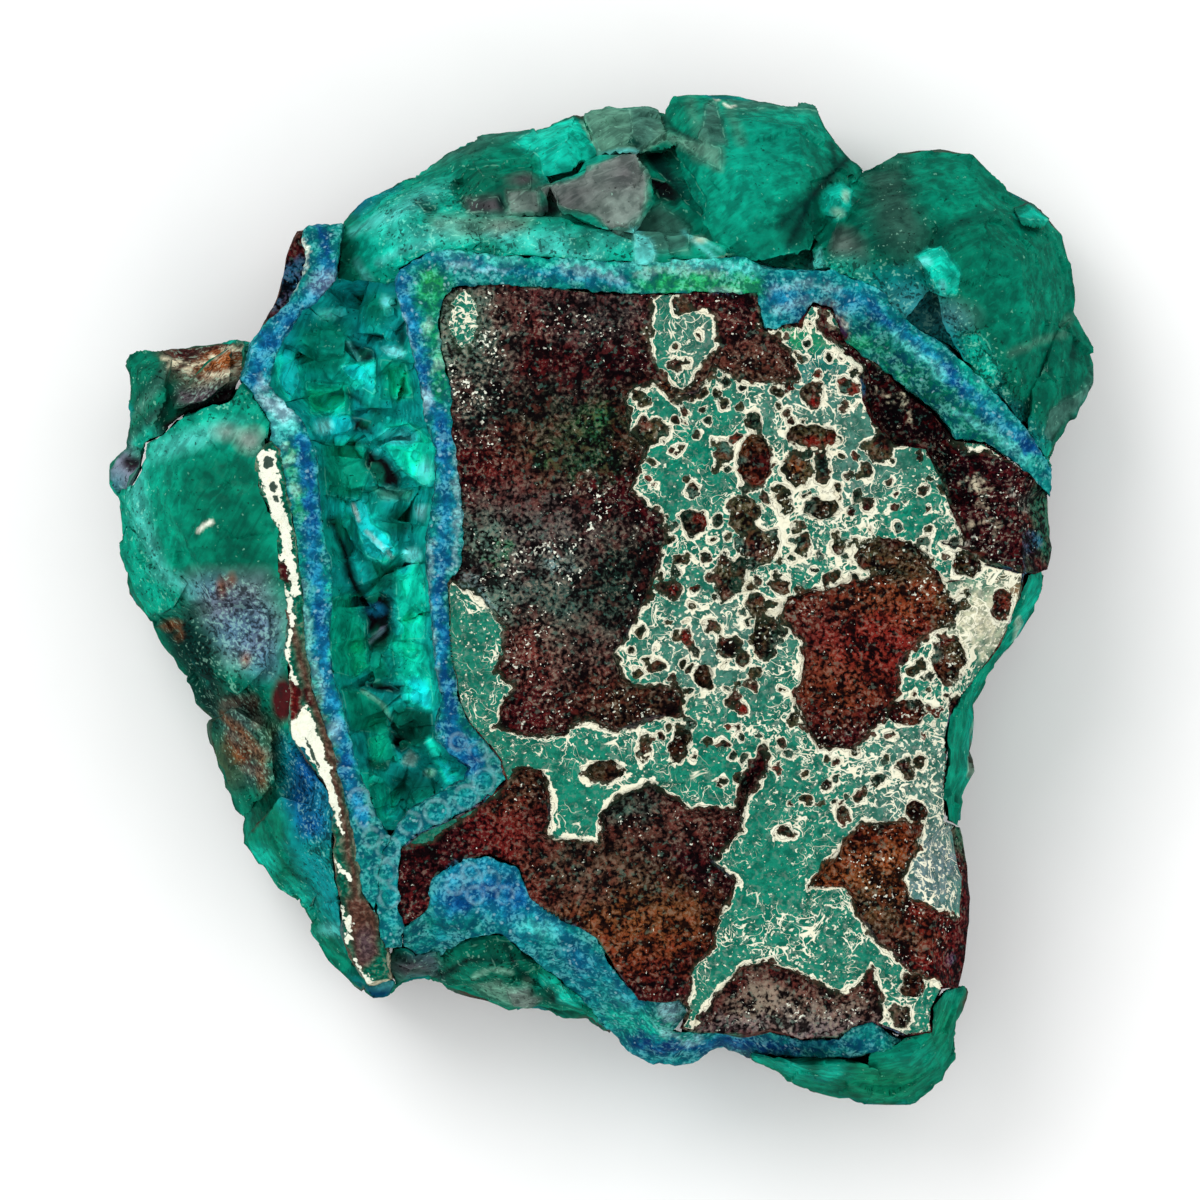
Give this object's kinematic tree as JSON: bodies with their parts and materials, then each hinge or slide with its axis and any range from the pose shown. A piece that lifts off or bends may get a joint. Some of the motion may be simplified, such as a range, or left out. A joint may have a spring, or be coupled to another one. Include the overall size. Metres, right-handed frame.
{
  "type": "dioptase specimen",
  "caption": "Hand-sized mineral specimen: broken brown host rock with a flat lace-patterned face, blue crusts, a crystal-lined vug and green dioptase crystals.",
  "frame": {"origin": "centre of the specimen's box on the surface it lies on, under its flat back", "axes": "+Z out of the flat broken face, +Y up the face towards the large crystals, +X to the right across the face"},
  "size_m": [0.0592, 0.0608, 0.0227],
  "materials": {
    "host_rock": "matt granular maroon-brown rock with a green skin and white lace-like lines",
    "shattuckite": "velvety fibrous blue crust with pale rims",
    "white_seam": "chalky off-white seam with brown edges",
    "dioptase": "glassy translucent emerald to turquoise crystal, striated in places",
    "vug_dioptase": "glassy bright teal crystals, dark in the deep gaps"
  },
  "bodies": {
    "root": {"host_rock": "host_rock", "shattuckite_crust_host": "shattuckite", "shattuckite_crust_left": "shattuckite", "shattuckite_patch": "shattuckite", "white_seam": "white_seam", "dioptase_left_block": "dioptase", "left_knob": "dioptase", "top_crystals": "dioptase", "flank_crystals": "dioptase", "bottom_crystals": "dioptase", "corner_crystals": "dioptase", "vug_crystals": "vug_dioptase"}
  },
  "joints": []
}
